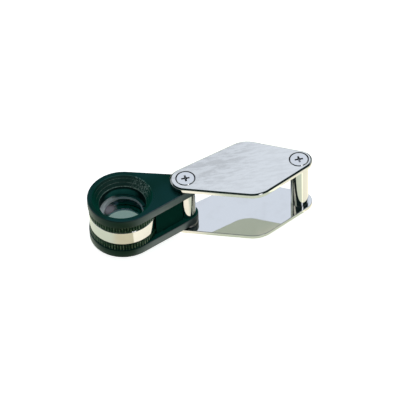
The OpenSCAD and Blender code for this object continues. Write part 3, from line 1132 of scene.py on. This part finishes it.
class LOUPE_OT_bezels(bpy.types.Operator):
    """Make the eye bezel and the field bezel"""

    bl_idname = "loupe.bezels"
    bl_label = "Bezels"

    def execute(self, context):
        holder = context.scene.loupe.holder
        flange_r = outer_radius("bezel_eye")
        thread_r = bore_radius("lens_barrel") - FIT
        throat_r = bore_radius("bezel_eye")
        low_z, high_z = levels("bezel_eye")
        step_z = high_z - holder.flange_t
        ribbed = funnel(high_z, holder.eye_depth, holder.eye_ribs, holder.mouth_d / 2, throat_r)
        tube = [(throat_r, high_z - holder.eye_depth), (throat_r, low_z)]
        outside = [(thread_r, low_z), (thread_r, step_z), (flange_r, step_z), (flange_r, high_z)]
        bezel("bezel_at_eye", "bezel_eye", ribbed, tube, outside, satin_funnel)

        low_z, high_z = levels("bezel_field")
        cell_z = levels("lens_cell")[0]
        step_z = low_z + holder.flange_t
        stop_r = bore_radius("bezel_field")
        nose_r = outer_radius("crown_lens") + 2 * FIT + CELL_WALL
        ribbed = funnel(cell_z, cell_z - low_z, holder.field_ribs, throat_r, stop_r)
        outside = [
            (stop_r, low_z),
            (flange_r, low_z),
            (flange_r, step_z),
            (thread_r, step_z),
            (thread_r, high_z),
            (nose_r, high_z),
            (nose_r, cell_z),
        ]
        bezel("bezel_at_field", "bezel_field", ribbed, [], outside, satin_field)
        return {"FINISHED"}


class LOUPE_OT_lens_mount(bpy.types.Operator):
    """Make the lens cell and the slotted retaining ring"""

    bl_idname = "loupe.lens_mount"
    bl_label = "Lens mount"

    lip: length("Lip", 1, "Thickness of the lip under the glass")
    straight: length("Straight bore", 0.2, "Straight part of the ring's bore under its bevel")

    def execute(self, context):
        holder = context.scene.loupe.holder
        cell_z, top_z = levels("lens_cell")
        ring_low, ring_high = levels("retaining_ring")
        aperture_r = bore_radius("retaining_ring")
        glass_r = outer_radius("crown_lens") + FIT
        throat_r = bore_radius("bezel_eye")
        flat_r = holder.ring_flat_d / 2
        ring_r = outer_radius("retaining_ring")
        thread_r = bore_radius("lens_barrel") - FIT
        nose_r = glass_r + CELL_WALL
        shoulder_z = levels("barrel_band")[0]
        cell = [
            (throat_r, cell_z),
            (nose_r, cell_z),
            (nose_r, shoulder_z),
            (thread_r, shoulder_z),
            (thread_r, top_z),
            (ring_r + FIT, top_z),
            (ring_r + FIT, ring_low),
            (glass_r, ring_low),
            (glass_r, cell_z + self.lip),
            (aperture_r, cell_z + self.lip),
            (aperture_r, cell_z + self.lip * 0.75),
        ]
        bm = bmesh.new()
        turned(bm, LENS, softened(cell, 0.04 * MM, steps=2))
        piece("glass_cell", bm, [satin_field], "holder", "inner_black", ["lens_cell"])

        half = math.asin(holder.slot_w / 2 / ring_r)
        turn = math.atan2(ALONG_HOLDER.y, ALONG_HOLDER.x)

        # Share of the bevel before its extra row
        lead = 0.15

        def in_slot(angle):
            from_slot = (angle - turn) % math.pi
            return min(from_slot, math.pi - from_slot) < half

        def profile(angle):
            top = ring_high - (holder.slot_depth if in_slot(angle) else 0)
            inner = ring_low + self.straight
            return [
                (aperture_r, ring_low),
                (ring_r, ring_low),
                (ring_r, top),
                (flat_r, top),
                (flat_r - (flat_r - aperture_r) * lead, top - (top - inner) * lead),
                (aperture_r, inner),
            ]

        angles = list(ROUND_ANGLES)
        # Angles just inside and outside the slots' walls
        for side in (0, math.pi):
            for edge in (-half, half):
                angles += [(turn + side + edge * k) % TURN for k in (0.98, 1.02)]
        bm = bmesh.new()
        turned(bm, LENS, profile, [0, 0, 0, 1, 1, 0], sorted(angles))
        piece("glass_ring", bm, [ring_flat, ring_bevel], "holder", "black_anodised", ["retaining_ring"])
        return {"FINISHED"}


class LOUPE_OT_glass(bpy.types.Operator):
    """Make the cemented triplet as one clear body"""

    bl_idname = "loupe.glass"
    bl_label = "Glass"

    def execute(self, context):
        curve_r = context.scene.loupe.holder.glass_curve
        low_z = levels("flint_field")[0]
        high_z = levels("flint_eye")[1]
        radius = outer_radius("crown_lens")
        reach = math.asin(radius / curve_r)
        steps = 24
        dome = [
            (curve_r * math.sin(reach * i / steps), curve_r * (1 - math.cos(reach * i / steps)))
            for i in range(steps + 1)
        ]
        profile = [(r, low_z + drop) for r, drop in dome]
        profile += [(r, high_z - drop) for r, drop in dome[::-1]]
        sides = [0] * steps + [1] + [0] * steps
        bm = bmesh.new()
        turned(bm, LENS, profile, sides, closed=False)
        finishes = [coated_glass, ground_black]
        glass = ["flint_field", "crown_lens", "flint_eye"]
        piece("triplet_glass", bm, finishes, "holder", "crown_glass", glass)
        return {"FINISHED"}


class LOUPE_OT_hidden_parts(bpy.types.Operator):
    """Give the barrel and the dowels inside the holder their finishes"""

    bl_idname = "loupe.hidden_parts"
    bl_label = "Hidden parts"

    def execute(self, context):
        for node, finish in (("lens_barrel", satin_black), ("bridge_dowels", steel)):
            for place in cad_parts[node].material_slots:
                place.material = finish()
        return {"FINISHED"}


# Stage

def camera_axes(stage):
    """Directions to the camera, to its right and upwards for it, as it leans."""
    back = Vector(
        (
            math.sin(stage.azimuth) * math.cos(stage.elevation),
            -math.cos(stage.azimuth) * math.cos(stage.elevation),
            math.sin(stage.elevation),
        )
    )
    level = Vector((0, 0, 1)).cross(back).normalized()
    upright = back.cross(level)
    right = math.cos(stage.roll) * level + math.sin(stage.roll) * upright
    return back, right, back.cross(right)


def add_camera(stage):
    back, right, up = camera_axes(stage)
    target = Vector((PIVOT.x, PIVOT.y, 0)) + Vector(stage.target)
    data = bpy.data.cameras.new("camera")
    data.lens = stage.focal
    data.clip_end = 10
    camera = bpy.data.objects.new("camera", data)
    bpy.context.scene.collection.objects.link(camera)
    turn = Matrix((right, up, back)).transposed().to_4x4()
    camera.matrix_world = Matrix.Translation(target + back * stage.distance) @ turn
    bpy.context.scene.camera = camera


def light_path(nodes):
    """Whether a ray is the camera's, left a shiny or clear surface, and was reflected by it."""
    kinds = ("Is Camera Ray", "Is Glossy Ray", "Is Reflection Ray")
    return [nodes.node("ShaderNodeLightPath", output=kind) for kind in kinds]


def add_floor(stage):
    """Cream floor with painted light and shade: a painted shadow in front of the lens holder, a painted
    pool of light beside it, painted light by the end post and painted shade far off and beyond the case.
    The camera sees it as white, with a faint shadow.
    """
    half = 3.0
    mesh = bpy.data.meshes.new("floor")
    corners = [(-half, -half, 0), (half, -half, 0), (half, half, 0), (-half, half, 0)]
    mesh.from_pydata(corners, [], [(0, 1, 2, 3)])
    floor = bpy.data.objects.new("floor", mesh)
    bpy.context.scene.collection.objects.link(floor)
    floor.location.z = -0.02 * MM
    made = bpy.data.materials.new("floor")
    nodes = Nodes(made)
    seen, glossy, reflected = light_path(nodes)

    # Painted shadow of the lens holder on the floor in front of it
    front = nodes.near((-38 * MM, -26 * MM, 0), 9 * MM, 18 * MM)
    cream = nodes.blend(front, stage.floor, stage.warm)

    # Painted pool of light beside the lens holder, with a sharp edge
    lit = nodes.ramp(nodes.along((0.972, 0.234, 0)), -37.2 * MM, -36.2 * MM)
    beside_holder = nodes.near((-26 * MM, -13 * MM, 0), 10 * MM, 16 * MM)
    cream = nodes.blend(lit * beside_holder, cream, stage.patch)

    # Painted light by the end post: lighter floor at its right and a light stripe before it
    post = (END.x + 0.4 * MM, END.y - 2.7 * MM, 0)
    by_post = nodes.near(post, 20 * MM, 28 * MM)
    rightward = nodes.ramp(nodes.bearing(post, (0.898, 0.44, 0)), 0, 0.1)
    cream = nodes.blend(rightward * by_post, cream, stage.right)
    forward = nodes.ramp(nodes.bearing(post, (0.44, -0.898, 0)), 0.984, 0.995)
    cream = nodes.blend(forward * by_post, cream, stage.stripe)

    # Painted shade on the floor far off and beyond the case
    far = 1 - nodes.near((0, 0, 0), 60 * MM, 130 * MM)
    beyond = nodes.ramp(nodes.along((1, 0, 0)), 38 * MM, 48 * MM)
    painted_shade = [0.12 * c for c in stage.floor]
    cream = nodes.blend(nodes.larger(far, beyond), cream, painted_shade)

    matt = nodes.blend(seen, cream, (0.92, 0.92, 0.9))
    plain = nodes.node("ShaderNodeBsdfDiffuse", {}, {"Color": matt})
    strength = seen * 0.85 + (glossy + reflected) * 0.7
    light = {"Color": nodes.blend(seen, cream, (1, 1, 1)), "Strength": strength}
    glow = nodes.node("ShaderNodeEmission", {}, light)
    both = nodes.node("ShaderNodeAddShader", {}, {0: plain, 1: glow})
    nodes.output(both)
    mesh.materials.append(made)


def add_world(stage):
    """Grey wall, and a round white ceiling behind the object. Matt things get mostly even light."""
    world = bpy.data.worlds.new("studio")
    bpy.context.scene.world = world
    nodes = Nodes(world)
    seen, glossy, reflected = light_path(nodes)
    direction = nodes.node("ShaderNodeTexCoord", output="Generated")
    height = nodes.dot(direction, (0, 0, 1))
    wall = nodes.ramp(height, 0.08, 0.18) * (1 - nodes.ramp(height, 0.46, 0.54))
    tone = nodes.blend(wall, stage.dark, stage.wall)

    high = math.radians(61)
    away = Vector((-math.sin(stage.azimuth), math.cos(stage.azimuth), math.tan(high))) * math.cos(high)
    tone = nodes.blend(nodes.ramp(nodes.dot(direction, away), 0.8, 0.87), tone, stage.sky)
    panel = (0.306, -0.624, 0.719)
    tone = nodes.blend(nodes.ramp(nodes.dot(direction, panel), 0.9875, 0.992), tone, stage.lamp)

    tone = nodes.blend(nodes.larger(glossy, reflected), stage.even, tone)
    tone = nodes.blend(seen, tone, (1, 1, 1))
    back = nodes.node("ShaderNodeBackground", {}, {"Color": tone, "Strength": 1})
    nodes.node("ShaderNodeOutputWorld", {}, {"Surface": back})


class LOUPE_OT_stage(bpy.types.Operator):
    """Make the floor, the studio, the light and the camera"""

    bl_idname = "loupe.stage"
    bl_label = "Stage"

    def execute(self, context):
        stage = context.scene.loupe.stage
        add_camera(stage)
        add_floor(stage)
        add_world(stage)
        context.scene.view_settings.view_transform = "Standard"
        return {"FINISHED"}


OPERATORS = (
    LOUPE_OT_plates,
    LOUPE_OT_posts,
    LOUPE_OT_screws,
    LOUPE_OT_washers,
    LOUPE_OT_arms,
    LOUPE_OT_bridge,
    LOUPE_OT_knurling,
    LOUPE_OT_band,
    LOUPE_OT_bezels,
    LOUPE_OT_lens_mount,
    LOUPE_OT_glass,
    LOUPE_OT_hidden_parts,
    LOUPE_OT_stage,
)


class LOUPE_PT_panel(bpy.types.Panel):
    """Lists the loupe's pieces and settings"""

    bl_idname = "LOUPE_PT_panel"
    bl_label = "Loupe"
    bl_space_type = "VIEW_3D"
    bl_region_type = "UI"
    bl_category = "Loupe"

    def draw(self, context):
        for operator in OPERATORS:
            self.layout.operator(operator.bl_idname)
        loupe = context.scene.loupe
        for group in (loupe.case, loupe.holder, loupe.colours, loupe.stage):
            box = self.layout.box()
            for name in group.__annotations__:
                box.prop(group, name)


CLASSES = (
    CaseSettings,
    HolderSettings,
    ColourSettings,
    StageSettings,
    LoupeSettings,
    *OPERATORS,
    LOUPE_PT_panel,
)


def register():
    for cls in CLASSES:
        bpy.utils.register_class(cls)
    bpy.types.Scene.loupe = bpy.props.PointerProperty(type=LoupeSettings)


def unregister():
    del bpy.types.Scene.loupe
    for cls in reversed(CLASSES):
        bpy.utils.unregister_class(cls)


def main():
    register()
    bpy.ops.loupe.plates()
    bpy.ops.loupe.posts()
    bpy.ops.loupe.screws()
    bpy.ops.loupe.washers()
    bpy.ops.loupe.arms()
    bpy.ops.loupe.bridge()
    bpy.ops.loupe.knurling()
    bpy.ops.loupe.band()
    bpy.ops.loupe.bezels()
    bpy.ops.loupe.lens_mount()
    bpy.ops.loupe.glass()
    bpy.ops.loupe.hidden_parts()
    bpy.ops.loupe.stage()


if __name__ == "__main__":
    main()
